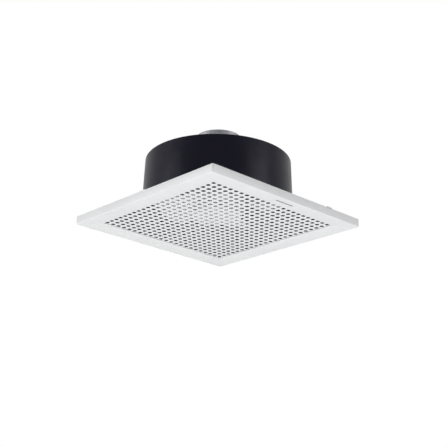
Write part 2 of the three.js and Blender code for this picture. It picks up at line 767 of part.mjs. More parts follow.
function terminalBox() {
  const outer = block(BOX_DEPTH, BOX_LENGTH, BOX_BASE_Z, BOX_BASE_Z + BOX_HEIGHT);
  const innerDepth = BOX_DEPTH - 2 * BOX_WALL;
  const innerLength = BOX_LENGTH - 2 * BOX_WALL;
  const hollow = block(innerDepth, innerLength, BOX_BASE_Z + BOX_WALL, BOX_BASE_Z + BOX_HEIGHT + 1);
  const posts = [-1, 1].map((side) => {
    const post = disc(3, BOX_BASE_Z + 1, BOX_BASE_Z + BOX_HEIGHT, 12);
    return at(post, COVER_SCREW_X, side * COVER_SCREW_Y, 0);
  });
  const pilots = [-1, 1].map((side) => {
    const pilot = disc(1.5, BOX_BASE_Z + 10, BOX_BASE_Z + BOX_HEIGHT + 1, 8);
    return at(pilot, COVER_SCREW_X, side * COVER_SCREW_Y, 0);
  });
  const glandHole = at(sideways(GLAND_NECK_RADIUS + GAP, 8, 16), BOX_DEPTH / 2 - 5, 0, GLAND_Z);
  const leadHole = at(sideways(LEAD_HOLE_RADIUS, 8, 10), -BOX_DEPTH / 2 - 3, 0, MOTOR_LEAD_Z);
  const tray = fuse(toGeometry(toSolid(outer).subtract(toSolid(hollow))), ...posts);
  return toBoxPlace(cut(tray, ...pilots, glandHole, leadHole));
}

const COVER_Z = BOX_BASE_Z + BOX_HEIGHT + GAP;
const COVER_THICKNESS = 2;

function terminalCover() {
  const body = block(BOX_DEPTH, BOX_LENGTH, COVER_Z, COVER_Z + COVER_THICKNESS);
  const holes = [-1, 1].map((side) => {
    return at(disc(1.8, COVER_Z - 1, COVER_Z + 3, 8), COVER_SCREW_X, side * COVER_SCREW_Y, 0);
  });
  return toBoxPlace(cut(body, ...holes));
}

// A neck through the box wall, a nut against it and a tapered end with a 7.2 mm cable bore.
function cableGland() {
  const start = BOX_DEPTH / 2 - BOX_WALL - 2.4;
  const bore = 3.6;
  const length = 14.4;
  const profile = [
    [bore, 0],
    [GLAND_NECK_RADIUS, 0],
    [GLAND_NECK_RADIUS, 4.8],
    [8.4, 4.8],
    [8.4, 9],
    [7, 11],
    [GLAND_NECK_RADIUS, length],
    [bore, length],
  ];
  return toBoxPlace(at(ring(profile, 16).rotateY(Math.PI / 2), start, 0, GLAND_Z));
}

addPiece('terminal_box', terminalBox(), blackPlastic);
addPiece('terminal_cover', terminalCover(), blackPlastic);
[-1, 1].forEach((side, index) => {
  const upright = screw(2.6, 1.2, 9, COVER_Z + COVER_THICKNESS + GAP);
  const geometry = at(upright, COVER_SCREW_X, side * COVER_SCREW_Y, 0);
  addPiece(`cover_screw_${index + 1}`, toBoxPlace(geometry), zincSteel);
});
addPiece('cable_gland', cableGland(), blackPlastic);

const innerFloorZ = BOX_BASE_Z + BOX_WALL + GAP;
const terminalBlock = at(block(12, 24, innerFloorZ, innerFloorZ + 8), 7, -12, 0);
addPiece('terminal_block', toBoxPlace(terminalBlock), paleInsulator);
const runCapacitor = at(block(14, 20, innerFloorZ, innerFloorZ + 17), 4, 15, 0);
addPiece('run_capacitor', toBoxPlace(runCapacitor), greyPlastic);
const earthScrew = at(screw(3, 1.5, 1.6, innerFloorZ + 1.8), -9, -6, 0);
addPiece('earth_screw', toBoxPlace(earthScrew), brass);

// The short sleeved lead from the windings into the terminal box.
function motorLead() {
  const start = MOTOR_RADIUS - 3;
  const end = BOX_CENTRE_RADIUS - BOX_DEPTH / 2 + 5;
  const path = new THREE.LineCurve3(
    new THREE.Vector3(start, 0, MOTOR_LEAD_Z),
    new THREE.Vector3(end, 0, MOTOR_LEAD_Z),
  );
  const section = new THREE.Shape();
  section.setFromPoints(circlePoints(0, 0, 2.6, 10));
  const settings = { steps: 1, extrudePath: path };
  return new THREE.ExtrudeGeometry(section, settings).rotateZ(BOX_TURN);
}

addPiece('motor_lead', motorLead(), greyPlastic);

export default fan;
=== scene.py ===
"""Looks for a ceiling extractor fan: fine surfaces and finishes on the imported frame."""
import math

import bpy
import numpy as np
from mathutils import Euler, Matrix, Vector


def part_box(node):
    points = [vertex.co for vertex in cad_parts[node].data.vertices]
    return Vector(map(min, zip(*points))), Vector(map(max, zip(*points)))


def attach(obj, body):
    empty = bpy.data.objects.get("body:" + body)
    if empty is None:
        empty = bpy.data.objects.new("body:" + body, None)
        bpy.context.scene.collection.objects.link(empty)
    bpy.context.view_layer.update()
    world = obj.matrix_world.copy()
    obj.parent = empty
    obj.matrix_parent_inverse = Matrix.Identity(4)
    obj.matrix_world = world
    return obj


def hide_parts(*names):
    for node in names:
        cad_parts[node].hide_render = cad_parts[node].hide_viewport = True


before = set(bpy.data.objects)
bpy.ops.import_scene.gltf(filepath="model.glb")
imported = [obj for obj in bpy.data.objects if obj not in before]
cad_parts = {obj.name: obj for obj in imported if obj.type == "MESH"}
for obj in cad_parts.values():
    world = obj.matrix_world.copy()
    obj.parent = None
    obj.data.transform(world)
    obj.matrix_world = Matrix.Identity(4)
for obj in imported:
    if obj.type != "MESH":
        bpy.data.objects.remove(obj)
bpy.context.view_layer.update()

MM = 0.001    # one millimetre in metres


# ---- finishes ------------------------------------------------------------------------

def srgb(code):
    """Linear RGBA of an sRGB hex colour."""
    channels = [int(code[i:i + 2], 16) / 255 for i in (1, 3, 5)]
    linear = [c / 12.92 if c <= 0.04045 else ((c + 0.055) / 1.055) ** 2.4 for c in channels]
    return (*linear, 1.0)


def add_node(tree, kind, values=None, links=None, **settings):
    """Adds a node, sets its properties and sockets, and links its inputs to other outputs."""
    node = tree.nodes.new(kind)
    for name, value in settings.items():
        setattr(node, name, value)
    for socket, value in (values or {}).items():
        node.inputs[socket].default_value = value
    for socket, source in (links or {}).items():
        tree.links.new(source, node.inputs[socket])
    return node


def new_finish(name, **sockets):
    """A Principled material with the given sockets, and its tree, shader and object coordinates."""
    finish = bpy.data.materials.new(name)
    finish.use_nodes = True
    tree = finish.node_tree
    shader = next(n for n in tree.nodes if n.type == "BSDF_PRINCIPLED")
    for socket, value in sockets.items():
        shader.inputs[socket.replace("_", " ")].default_value = value
    place = add_node(tree, "ShaderNodeTexCoord").outputs["Object"]
    return finish, tree, shader, place


def surface_finish(name, tones, tone_mm, roughness, roughness_mm, grain_mm, depth_mm,
                   stretch=(1.0, 1.0, 1.0), **sockets):
    """A material whose colour, gloss and relief each vary with a noise of a real grain size."""
    finish, tree, shader, place = new_finish(name, **sockets)
    place = add_node(
        tree, "ShaderNodeMapping", {"Scale": stretch}, {"Vector": place}).outputs["Vector"]
    sizes = {"tone": tone_mm, "gloss": roughness_mm, "grain": grain_mm}
    noise = {
        part: add_node(
            tree, "ShaderNodeTexNoise", {"Scale": 1 / (size * MM), "Detail": 3.0},
            {"Vector": place}).outputs["Fac"]
        for part, size in sizes.items()}
    tone = add_node(tree, "ShaderNodeValToRGB", links={"Fac": noise["tone"]})
    for stop, position, colour in zip(tone.color_ramp.elements, (0.35, 0.65), tones):
        stop.position = position
        stop.color = srgb(colour)
    gloss = add_node(
        tree, "ShaderNodeMapRange",
        {"From Min": 0.3, "From Max": 0.7, "To Min": roughness[0], "To Max": roughness[1]},
        {"Value": noise["gloss"]})
    bump = add_node(
        tree, "ShaderNodeBump", {"Distance": depth_mm * MM, "Strength": 1.0},
        {"Height": noise["grain"]})
    tree.links.new(tone.outputs["Color"], shader.inputs["Base Color"])
    tree.links.new(gloss.outputs["Result"], shader.inputs["Roughness"])
    tree.links.new(bump.outputs["Normal"], shader.inputs["Normal"])
    return finish


def banded_finish(name, tones, pitch_mm, depth_mm, wave, **sockets):
    """A material with ridges of a real pitch, pale on the crest and dark in the seam; on wound wire
    the pale crest is a painted highlight and the dark seam is painted shade.
    """
    finish, tree, shader, place = new_finish(name, **sockets)
    # A wave texture of scale 1 repeats every 0.314 m.
    bands = add_node(
        tree, "ShaderNodeTexWave", {"Scale": 0.314 / (pitch_mm * MM), "Distortion": 0.6},
        {"Vector": place}, **wave)
    # The ramp runs from the dark seam tone to the pale crest tone; on the copper wire these are
    # painted shade and a painted highlight.
    tone = add_node(tree, "ShaderNodeValToRGB", links={"Fac": bands.outputs["Fac"]})
    for stop, colour in zip(tone.color_ramp.elements, tones):
        stop.color = srgb(colour)
    bump = add_node(
        tree, "ShaderNodeBump", {"Distance": depth_mm * MM, "Strength": 1.0},
        {"Height": bands.outputs["Fac"]})
    tree.links.new(tone.outputs["Color"], shader.inputs["Base Color"])
    tree.links.new(bump.outputs["Normal"], shader.inputs["Normal"])
    return finish


FINISH = {
    # White ABS from a fine-grained mould: an even satin white that keeps soft highlights.
    "white": surface_finish(
        "abs_white_satin", ("#EBEDEE", "#EFF0F1"), 60, (0.34, 0.42), 6, 0.9, 0.008, IOR=1.52),
    # The impeller's ABS has a smoother mould skin, so its blades catch brighter streaks.
    "impeller": surface_finish(
        "abs_white_smooth", ("#F1F1EF", "#F6F6F4"), 25, (0.28, 0.38), 5, 1.2, 0.006, IOR=1.52),
    # Powder coat baked on steel: white with the slight orange peel of a sprayed finish.
    "sheet": surface_finish(
        "powder_coat_white", ("#E9EBED", "#EDEEF0"), 80, (0.42, 0.5), 8, 1.6, 0.012, IOR=1.5),
    # Blue-black ABS from a polished mould: near black face-on, pale where it turns away.
    "black": surface_finish(
        "abs_black_polished", ("#0A0A1A", "#0E0E20"), 40, (0.2, 0.27), 18, 9, 0.012, IOR=1.47,
        Specular_Tint=(0.88, 0.84, 1.0, 1.0)),
    # The same black ABS from a grained mould: dull, for brackets and covers.
    "grained": surface_finish(
        "abs_black_grained", ("#17171C", "#202026"), 30, (0.42, 0.56), 4, 0.8, 0.03, IOR=1.53),
    # Black ABS textured all over: matt, so the space behind the sheet stays dark.
    "matt": surface_finish(
        "abs_black_matt", ("#0C0C11", "#121217"), 30, (0.7, 0.8), 5, 1.0, 0.03, IOR=1.46),
    # Light grey ABS clips and bars: matt, a little uneven in tone.
    "grey": surface_finish(
        "abs_grey_matt", ("#B4B7BA", "#BFC1C3"), 12, (0.45, 0.55), 3, 0.7, 0.01, IOR=1.52),
    # Hot foil on the blank badge bar: a thin satin print, half metal and half lacquer.
    "badge": surface_finish(
        "hot_foil_grey", ("#9A9DA1", "#A6A9AD"), 5, (0.4, 0.5), 2, 1.0, 0.004, Metallic=0.3),
    # Zinc-coated steel drawn into the motor can: dull grey, with faint draw lines up its side.
    "can": surface_finish(
        "steel_zinc_coated_drawn", ("#C3C4CA", "#B4B5BD"), 6, (0.34, 0.5), 2, 1.2, 0.02,
        (1.0, 1.0, 0.05), Metallic=0.5),
    # Bright zinc plate on screws and brackets: slightly blue, with a hazy skin.
    "zinc": surface_finish(
        "steel_zinc_plated", ("#B3B9BE", "#C6C8C6"), 4, (0.26, 0.42), 1.5, 0.8, 0.01,
        Metallic=1.0),
    # Rolled stainless strip: bright, with fine lines along the rolling direction.
    "spring": surface_finish(
        "stainless_spring_strip", ("#C2C4C6", "#CDCECF"), 6, (0.22, 0.4), 0.5, 0.5, 0.008,
        (1.0, 1.0, 0.05), Metallic=1.0),
    # Ground shaft steel: bright, with very fine rings round it.
    "ground": surface_finish(
        "steel_ground", ("#C4C5C7", "#B9BBBE"), 8, (0.16, 0.28), 0.6, 0.6, 0.006,
        (0.05, 0.05, 1.0), Metallic=1.0),
    # Machined brass: warm yellow with light handling marks.
    "brass": surface_finish(
        "brass_machined", ("#B8924A", "#C9A55B"), 3, (0.24, 0.4), 1.2, 0.6, 0.01, Metallic=1.0),
    # Cream urea resin of the terminal block: hard, with a dull sheen and faint flow marks.
    "resin": surface_finish(
        "urea_resin_moulded", ("#DAD3BF", "#E4DECD"), 5, (0.34, 0.46), 2, 1.0, 0.01, IOR=1.55),
    # Grey PVC sleeving: soft, waxy and a little uneven.
    "sleeve": surface_finish(
        "pvc_sleeve_grey", ("#8D9093", "#9A9DA0"), 6, (0.38, 0.5), 2, 1.2, 0.02, IOR=1.53),
    # Varnished copper wire wound in rings, each turn drawn 0.8 mm wide: a painted highlight makes
    # each turn's crest bright and painted shade darkens the seams between turns.
    "copper": banded_finish(
        "copper_wire_enamelled", ("#8A4420", "#C67C4A"), 0.8, 0.15,
        {"wave_type": "RINGS", "rings_direction": "Z"}, Roughness=0.3, Metallic=0.85),
    # Stacked electrical steel sheets, drawn 0.7 mm thick, with dark varnish in the seams.
    "laminated": banded_finish(
        "electrical_steel_laminated", ("#3C3D40", "#7C7E82"), 0.7, 0.06,
        {"wave_type": "BANDS", "bands_direction": "Z"}, Roughness=0.45, Metallic=0.8),
}


# ---- surfaces ------------------------------------------------------------------------

SHARP_DEGREES = 35     # edges that bend by more than this are drawn sharp
WELD = 1e-4            # millimetres within which two points count as one
LEAST_CORNER = 0.25    # smallest corner radius in plan, in millimetres
HEAD_HEIGHT = 0.6      # height of a screw's head as a share of the head's radius


def make_piece(name, points, faces, finish, body, slot, nodes):
    """Makes a smooth-shaded object that rides on a body and stands in for CAD nodes."""
    mesh = bpy.data.meshes.new(name)
    mesh.from_pydata(np.asarray(points).tolist(), [], [list(map(int, f)) for f in faces])
    mesh.update()
    mesh.shade_smooth()
    mesh.set_sharp_from_angle(angle=math.radians(SHARP_DEGREES))
    mesh.materials.append(FINISH[finish])
    piece = bpy.data.objects.new(name, mesh)
    bpy.context.scene.collection.objects.link(piece)
    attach(piece, body)
    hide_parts(*nodes)


def join(*parts):
    """Stacks (points, faces) pairs into one pair, moving each one's face numbers on."""
    points, faces, start = [], [], 0
    for part_points, part_faces in parts:
        points.append(np.asarray(part_points, float))
        faces.extend([tuple(int(i) + start for i in face) for face in part_faces])
        start += len(part_points)
    return np.concatenate(points), faces


def grid_faces(rows, columns, wrap_rows, wrap_columns):
    """Quads of a rows by columns grid of points, joined up where it wraps."""
    i = np.arange(rows if wrap_rows else rows - 1)[:, None]
    j = np.arange(columns if wrap_columns else columns - 1)[None, :]
    next_i = (i + 1) % rows
    next_j = (j + 1) % columns
    corners = [i * columns + j, i * columns + next_j, next_i * columns + next_j, next_i * columns + j]
    return np.stack([np.broadcast_to(c, (i.size, j.size)).ravel() for c in corners], axis=1)


def outward(points, faces):
    """Turns all faces over if the closed shape's signed volume comes out negative."""
    points = np.asarray(points, float)
    fans = np.array([(f[0], f[k], f[k + 1]) for f in faces for k in range(1, len(f) - 1)])
    first, second, third = (points[fans[:, k]] for k in range(3))
    if np.einsum("ij,ij->", first, np.cross(second, third)) < 0:
        faces = [tuple(face)[::-1] for face in faces]
    return points, faces


def filleted(profile, radius, steps=4):
    """A closed outline with each corner replaced by an arc tangent to both its edges."""
    corners = np.asarray(profile, float)
    count = len(corners)
    result = []
    for k in range(count):
        corner = corners[k]
        back = corners[k - 1] - corner
        ahead = corners[(k + 1) % count] - corner
        back_length, ahead_length = np.linalg.norm(back), np.linalg.norm(ahead)
        back, ahead = back / back_length, ahead / ahead_length
        half = math.acos(float(np.clip(np.dot(back, ahead), -1, 1))) / 2
        if half > math.radians(84):
            result.append(corner)
            continue
        wanted = radius[k] if np.ndim(radius) else radius
        reach = min(wanted / math.tan(half), 0.45 * back_length, 0.45 * ahead_length)
        turn = reach * math.tan(half)
        middle = corner + (back + ahead) / np.linalg.norm(back + ahead) * (turn / math.sin(half))
        first = corner + back * reach - middle
        last = corner + ahead * reach - middle
        for step in range(steps + 1):
            share = step / steps
            angle = math.pi - 2 * half
            weights = (math.sin((1 - share) * angle), math.sin(share * angle))
            result.append(middle + (first * weights[0] + last * weights[1]) / math.sin(angle))
    return np.array(result)


def turned_rings(profile, segments, centre):
    """One ring of points round Z for each (radius, height) of an outline, all in metres."""
    angle = np.linspace(0, 2 * np.pi, segments, endpoint=False)
    x = profile[:, None, 0] * np.cos(angle) + centre[0] * MM
    y = profile[:, None, 0] * np.sin(angle) + centre[1] * MM
    z = np.broadcast_to(profile[:, None, 1], x.shape)
    return np.stack([x, y, z], axis=2).reshape(-1, 3)


def lathe(profile, segments, centre=(0.0, 0.0)):
    """A closed (radius, height) outline in millimetres carried round Z."""
    points = turned_rings(np.asarray(profile, float) * MM, segments, centre)
    return outward(points, grid_faces(len(profile), segments, True, True))


def dome(profile, segments, centre=(0.0, 0.0)):
    """As lathe, for an open outline whose first and last points lie on the axis as single points."""
    profile = np.asarray(profile, float) * MM
    rim = profile[1:-1]
    poles = [[centre[0] * MM, centre[1] * MM, profile[end, 1]] for end in (0, -1)]
    points = np.concatenate([turned_rings(rim, segments, centre), poles])
    walls = grid_faces(len(rim), segments, False, True)
    here = np.arange(segments)
    after = (here + 1) % segments
    pole = np.full(segments, len(rim) * segments)
    last = (len(rim) - 1) * segments
    first_fan = np.column_stack([pole, after, here])
    last_fan = np.column_stack([pole + 1, last + here, last + after])
    return outward(points, [*walls.tolist(), *first_fan.tolist(), *last_fan.tolist()])


def turned_by(part, degrees):
    """The same points turned about Z."""
    points, faces = part
    c, s = math.cos(math.radians(degrees)), math.sin(math.radians(degrees))
    points = np.asarray(points, float)
    turned = np.stack(
        [points[:, 0] * c - points[:, 1] * s, points[:, 0] * s + points[:, 1] * c, points[:, 2]],
        axis=1)
    return turned, faces


def four_corners(steps):
    """For each point round four corner arcs: its angle, and the signs of its corner's x and y."""
    angle = np.radians(
        np.concatenate([np.linspace(90 * q, 90 * q + 90, steps + 1) for q in range(4)]))
    quarter = np.repeat(np.arange(4), steps + 1)
    return angle, np.array([1, -1, -1, 1])[quarter], np.array([1, 1, -1, -1])[quarter]


def rounded_square(profile, half, corner, steps=6):
    """A closed (half width, height) outline carried round a square with rounded corners.

    The corner's radius shrinks by as much as the outline lies inside the square's edge.
    """
    profile = np.asarray(profile, float)
    radius = np.maximum(corner - (half - profile[:, 0]), LEAST_CORNER)
    angle, sign_x, sign_y = four_corners(steps)
    flat = (profile[:, 0] - radius)[:, None]
    x = flat * sign_x + radius[:, None] * np.cos(angle)
    y = flat * sign_y + radius[:, None] * np.sin(angle)
    z = np.broadcast_to(profile[:, None, 1], x.shape)
    points = np.stack([x, y, z], axis=2).reshape(-1, 3) * MM
    return outward(points, grid_faces(len(profile), len(angle), True, True))


def welded(points, faces):
    """Joins points, in millimetres, that round to the same multiple of the weld distance."""
    keys = np.round(points / WELD).astype(np.int64)
    _, first, inverse = np.unique(keys, axis=0, return_index=True, return_inverse=True)
    return points[first], inverse.reshape(-1)[np.asarray(faces)]


def perforated_sheet(half, low, high, pitch, count, diameter, sides=16, ease=0.08):
    """A square sheet of round holes: each cell is a square whose edge runs in to an eased hole.

    A cell's rings go from its square outline, at the same angles as the hole's points, to the
    hole's eased lip, down its wall and out again. One more ring closes the sheet's own edge.
    """
    angle = np.arange(sides) * 2 * np.pi / sides
    unit = np.stack([np.cos(angle), np.sin(angle)], axis=1)
    outline = unit / np.abs(unit).max(axis=1, keepdims=True) * pitch / 2
    radius = diameter / 2
    rings = [
        (outline, low), (unit * (radius + ease), low), (unit * radius, low + ease),
        (unit * radius, high - ease), (unit * (radius + ease), high), (outline, high)]
    cell = np.stack([np.column_stack([xy, np.full(sides, z)]) for xy, z in rings])
    centres = (np.arange(count) - (count - 1) / 2) * pitch
    offsets = np.stack(np.meshgrid(centres, centres), axis=-1).reshape(-1, 2)
    points = np.broadcast_to(cell, (len(offsets), *cell.shape)).copy()
    points[..., :2] += offsets[:, None, None, :]
    cell_faces = grid_faces(len(rings), sides, False, True)[:, ::-1]
    faces = cell_faces[None] + (np.arange(len(offsets)) * len(rings) * sides)[:, None, None]
    field = count * pitch / 2
    across = points[:, 0, :, 0].ravel()
    steps = across[np.unique(np.round(across, 6), return_index=True)[1]]
    side = np.column_stack([np.full(len(steps) - 1, field), steps[:-1]])
    turns = [(1, 0), (0, 1), (-1, 0), (0, -1)]
    edge = np.concatenate([side @ np.array([[c, s], [-s, c]]) for c, s in turns])
    reach = half / field
    band = [(edge, low), (edge * reach, low), (edge * reach, high), (edge, high)]
    border = np.concatenate([np.column_stack([xy, np.full(len(edge), z)]) for xy, z in band])
    inside, inside_faces = welded(points.reshape(-1, 3), faces.reshape(-1, 4))
    points, faces = join((inside, inside_faces), (border, grid_faces(4, len(edge), False, True)))
    points, faces = welded(points, faces)
    return outward(points * MM, faces.tolist())


def blade_surface(share, chord):
    """Where the blade's middle surface lies, in millimetres.

    The radius runs from hub to tip with share; the angle and height run from the leading edge
    to the trailing edge with chord, over a span and a rise that change from root to tip, and
    the angle is bowed a little ahead of a straight twist.
    """
    radius = BLADE_ROOT + (BLADE_TIP - BLADE_ROOT) * share
    span = ROOT_SPAN + (TIP_SPAN - ROOT_SPAN) * share
    bowed = chord + BLADE_BOW * chord * (1 - chord)
    angle = np.radians(ROOT_START + BLADE_SWEEP * share + span * bowed)
    foot = ROOT_FOOT + (TIP_FOOT - ROOT_FOOT) * share
    rise = ROOT_RISE + (TIP_RISE - ROOT_RISE) * share
    height = foot + rise * chord
    return np.stack([radius * np.cos(angle), radius * np.sin(angle), height], axis=-1)


def impeller_blade(span_steps=26, chord_steps=30, thickness=2.2):
    """A blade as two skins, set off the middle surface by a thickness that tapers to round edges.

    The grid's columns go round the section, along one skin and back along the other. A strip
    from skin to skin closes the section at the root and at the tip.
    """
    chord = 0.5 - 0.5 * np.cos(np.linspace(0, np.pi, chord_steps + 1))
    around = np.concatenate([chord, chord[-2:0:-1]])
    side = np.concatenate([np.ones(chord_steps + 1), -np.ones(chord_steps - 1)])
    share = np.linspace(0, 1, span_steps + 1)[:, None] * np.ones_like(around)
    around = np.broadcast_to(around, share.shape)
    step = 0.01
    along = blade_surface(share + step, around) - blade_surface(share - step, around)
    across = blade_surface(share, around + step) - blade_surface(share, around - step)
    normal = np.cross(along, across)
    normal /= np.linalg.norm(normal, axis=-1, keepdims=True)
    edge_share, edge_power = 0.45, 24
    body = edge_share + (1 - edge_share) * np.sin(np.pi * around)
    rounding = np.sqrt(np.clip(1 - np.abs(2 * around - 1) ** edge_power, 0, 1))
    half = thickness / 2 * body * rounding
    points = blade_surface(share, around) + normal * (half * side)[..., None]
    columns = around.shape[1]
    faces = [tuple(f) for f in grid_faces(span_steps + 1, columns, False, True)]
    near = np.arange(chord_steps + 1)
    far = (columns - near) % columns
    strip = np.column_stack([near[:-1], near[1:], far[1:], far[:-1]])
    for end in (strip[:, ::-1], strip + span_steps * columns):
        # The strip's first and last faces have a point twice, so they become triangles.
        faces.extend(tuple(dict.fromkeys(face)) for face in end.tolist())
    return outward(points.reshape(-1, 3) * MM, faces)


def pan_screw(x, y, seat, head, shank, length):
    """A pan-head screw: a domed head with a cross recess, over a plain shank.

    The head's height falls off as the root of one less the cube of the radius over the head's
    radius. The recess lowers it wherever the point lies within the arms of a cross, by a depth
    that goes as the root of the distance left to the arms' ends.
    """
    segments, rows = 48, 12
    innermost, tip_radius = 0.04, 0.15
    arm_width, arm_reach, arm_depth = head * 0.13, head * 0.62, 0.55
    angle = np.arange(segments) * 2 * np.pi / segments
    radius = head * np.linspace(innermost, 1, rows)
    r, a = np.meshgrid(radius, angle, indexing="ij")
    px, py = r * np.cos(a), r * np.sin(a)
    height = head * HEAD_HEIGHT
    top = seat + height * np.sqrt(np.clip(1 - (r / head) ** 3, 0, 1))
    arm = np.minimum(np.abs(px), np.abs(py)) < arm_width
    recess = height * arm_depth * np.clip(1 - r / arm_reach, 0, 1) ** 0.5
    top = np.where(arm & (r < arm_reach), top - recess, top)
    head_points = np.stack([px, py, top], axis=2).reshape(-1, 3)
    lower = [(shank, seat), (shank, seat - length + shank * 0.5), (tip_radius, seat - length)]
    skirt = np.concatenate(
        [np.column_stack([q * np.cos(angle), q * np.sin(angle), np.full(segments, h)])
         for q, h in lower])
    points = np.concatenate([head_points, skirt])
    total = rows + len(lower)
    faces = [tuple(f) for f in grid_faces(total, segments, False, True)]
    faces.append(tuple(range(segments - 1, -1, -1)))
    faces.append(tuple((total - 1) * segments + k for k in range(segments)))
    points = points + np.array([x, y, 0.0])
    return outward(points * MM, faces)


def bar(start, end, width, low, high, ease=0.5):
    """A flat bar between two points in plan, with a rounded rectangle for its section."""
    start, end = np.asarray(start, float), np.asarray(end, float)
    along = (end - start) / np.linalg.norm(end - start)
    aside = np.array([-along[1], along[0]])
    half = width / 2
    section = filleted([(-half, low), (half, low), (half, high), (-half, high)], ease, 3)
    rows = []
    for spot in (start, end):
        plan = spot + section[:, :1] * aside
        rows.append(np.column_stack([plan, section[:, 1]]))
    count = len(section)
    faces = [tuple(f) for f in grid_faces(2, count, False, True)]
    faces.append(tuple(range(count - 1, -1, -1)))
    faces.append(tuple(range(count, 2 * count)))
    return outward(np.concatenate(rows) * MM, faces)


# ---- sizes, in millimetres -----------------------------------------------------------

def low_high(node):
    """A CAD node's two corners in millimetres."""
    low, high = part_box(node)
    return np.array(low) / MM, np.array(high) / MM


def heights(node):
    """The lowest and highest levels of a CAD node in millimetres."""
    low, high = low_high(node)
    return low[2], high[2]


sheet_low, sheet_high = low_high("grille_sheet")
frame_high = low_high("grille_frame")[1]
shell_low, shell_high = low_high("housing_shell")
hub_low, hub_high = low_high("impeller")
guard_low, guard_high = low_high("discharge_guard")
can_low, can_high = low_high("motor_can_lower")
cap_low, cap_high = low_high("motor_can_upper")

GAP = 0.3
PANEL_HALF = frame_high[0]
RIM_TOP = 12.4
HOLE_PITCH = 10.56
HOLES_PER_SIDE = 23
HOLE_DIAMETER = 6.6
SHEET_HALF = sheet_high[0]
PEG_OFFSET = 128
PEG_RADIUS = 4
HUB_RADIUS = 38
HUB_CAP_RADIUS = 15
BLADES = 5
BLADE_ROOT, BLADE_TIP = 37, 97         # radii
ROOT_SPAN, TIP_SPAN = 64, 52           # degrees from the leading edge to the trailing edge
ROOT_START, BLADE_SWEEP = 2, 15        # degrees: the root's leading edge, and how far on the tip's is
ROOT_FOOT, TIP_FOOT = 25.5, 28         # heights of the leading edge
ROOT_RISE, TIP_RISE = 22, 20           # how much higher the trailing edge is
BLADE_BOW = 0.1                        # four times the share of the span the middle runs ahead by
MOTOR_RADIUS = 36
MOTOR_WALL = 1.5
MOTOR_FLANGE_RADIUS = cap_high[0]
SHAFT_RADIUS = 4
BEARING_SEAT = 9.8
GUARD_ARMS = 8
GUARD_ARM_WIDTH = 7
CORNERS = [(-1, -1), (1, -1), (1, 1), (-1, 1)]


def on_circle(radius, degrees):
    """A point on a circle about the fan's axis."""
    return radius * math.cos(math.radians(degrees)), radius * math.sin(math.radians(degrees))


# ---- the panel -----------------------------------------------------------------------

def panel_frame():
    """The moulded border: a sloping face, a lip for the sheet, side walls and four pegs."""
    half, seat, lip = PANEL_HALF, SHEET_HALF + GAP, SHEET_HALF - 3.5
    wall, land, corner = 2, 4, 2.4
    outline = filleted(
        [(half, 0), (half, RIM_TOP), (half - wall, RIM_TOP), (half - wall, 2.2),
         (seat, sheet_high[2]), (seat, sheet_low[2] - GAP),
         (lip, sheet_low[2] - GAP), (lip, 2), (half - land, 0)],
        [0.9, 0.5, 0.5, 0.8, 0.3, 0.2, 0.3, 0.4, 6], 5)
    ring = rounded_square(outline, half, corner)
    root, tip, bend = 2.6, frame_high[2], 2
    rounding = [(PEG_RADIUS - bend + bend * math.cos(a), tip - bend + bend * math.sin(a))
                for a in np.linspace(0, math.pi / 2, 7)]
    peg = [(0, root), (PEG_RADIUS, root), *rounding, (0, tip)]
    pegs = [dome(peg, 32, (sx * PEG_OFFSET, sy * PEG_OFFSET)) for sx, sy in CORNERS]
    return join(ring, *pegs)


make_piece("panel_frame_moulded", *panel_frame(), "white", "panel", "white_plastic",
           ["grille_frame"])
make_piece("panel_sheet_perforated",
           *perforated_sheet(SHEET_HALF, sheet_low[2], sheet_high[2], HOLE_PITCH,
                             HOLES_PER_SIDE, HOLE_DIAMETER),
           "sheet", "panel", "white_sheet", ["grille_sheet"])


# ---- the housing ---------------------------------------------------------------------

def housing():
    """The tapered wall, its turned-out foot, and the ledge that the guard sits on."""
    base, top = shell_low[2], shell_high[2]
    foot, wall, plate = shell_high[0], 2.2, 2
    base_radius, top_radius = 114, 111
    seat = guard_low[2] - GAP
    ledge = guard_high[0] - 4
    slope = (top_radius - base_radius) / (top - base)
    outline = filleted(
        [(base_radius - wall, base), (foot, base), (foot, base + plate),
         (base_radius + slope * plate, base + plate), (top_radius, top), (top_radius - wall, top),
         (top_radius - wall, seat), (ledge, seat), (ledge, seat - plate),
         (base_radius + slope * (seat - plate - base) - wall, seat - plate)],
        [0.3, 0.5, 0.5, 1.2, 1.3, 0.5, 0.2, 0.3, 0.3, 0.5], 5)
    return lathe(outline, 240)


def bellmouth():
    """A quarter-round mouth that narrows to a straight throat round the blade tips."""
    throat, bend, wall = 99.5, 11, 1.8
    low, high = 14.4, 56
    mouth = [(throat + bend + bend * math.cos(a), low + bend + bend * math.sin(a))
             for a in np.linspace(1.5 * math.pi, math.pi, 16)]
    back = [(throat + bend + (bend - wall) * math.cos(a), low + bend + (bend - wall) * math.sin(a))
            for a in np.linspace(math.pi, 1.5 * math.pi, 16)]
    return lathe(mouth + [(throat, high), (throat + wall, high)] + back, 200)


def guard():
    """A flat rim and hub ring joined by eight arms, all with eased edges."""
    low, high = guard_low[2], guard_high[2]
    rim_inside, rim_outside = 102, guard_high[0]
    bore, hub_outside = MOTOR_RADIUS + 0.6, 49
    overlap = 1
    rim = filleted(
        [(rim_inside, low), (rim_outside, low), (rim_outside, high), (rim_inside, high)], 0.5, 3)
    hub = filleted([(bore, low), (hub_outside, low), (hub_outside, high), (bore, high)], 0.5, 3)
    arms = []
    for arm in range(GUARD_ARMS):
        degrees = arm * 360 / GUARD_ARMS
        start = on_circle(hub_outside - overlap, degrees)
        end = on_circle(rim_inside + overlap, degrees)
        arms.append(bar(start, end, GUARD_ARM_WIDTH, low, high, 0.6))
    return join(lathe(rim, 200), lathe(hub, 96), *arms)


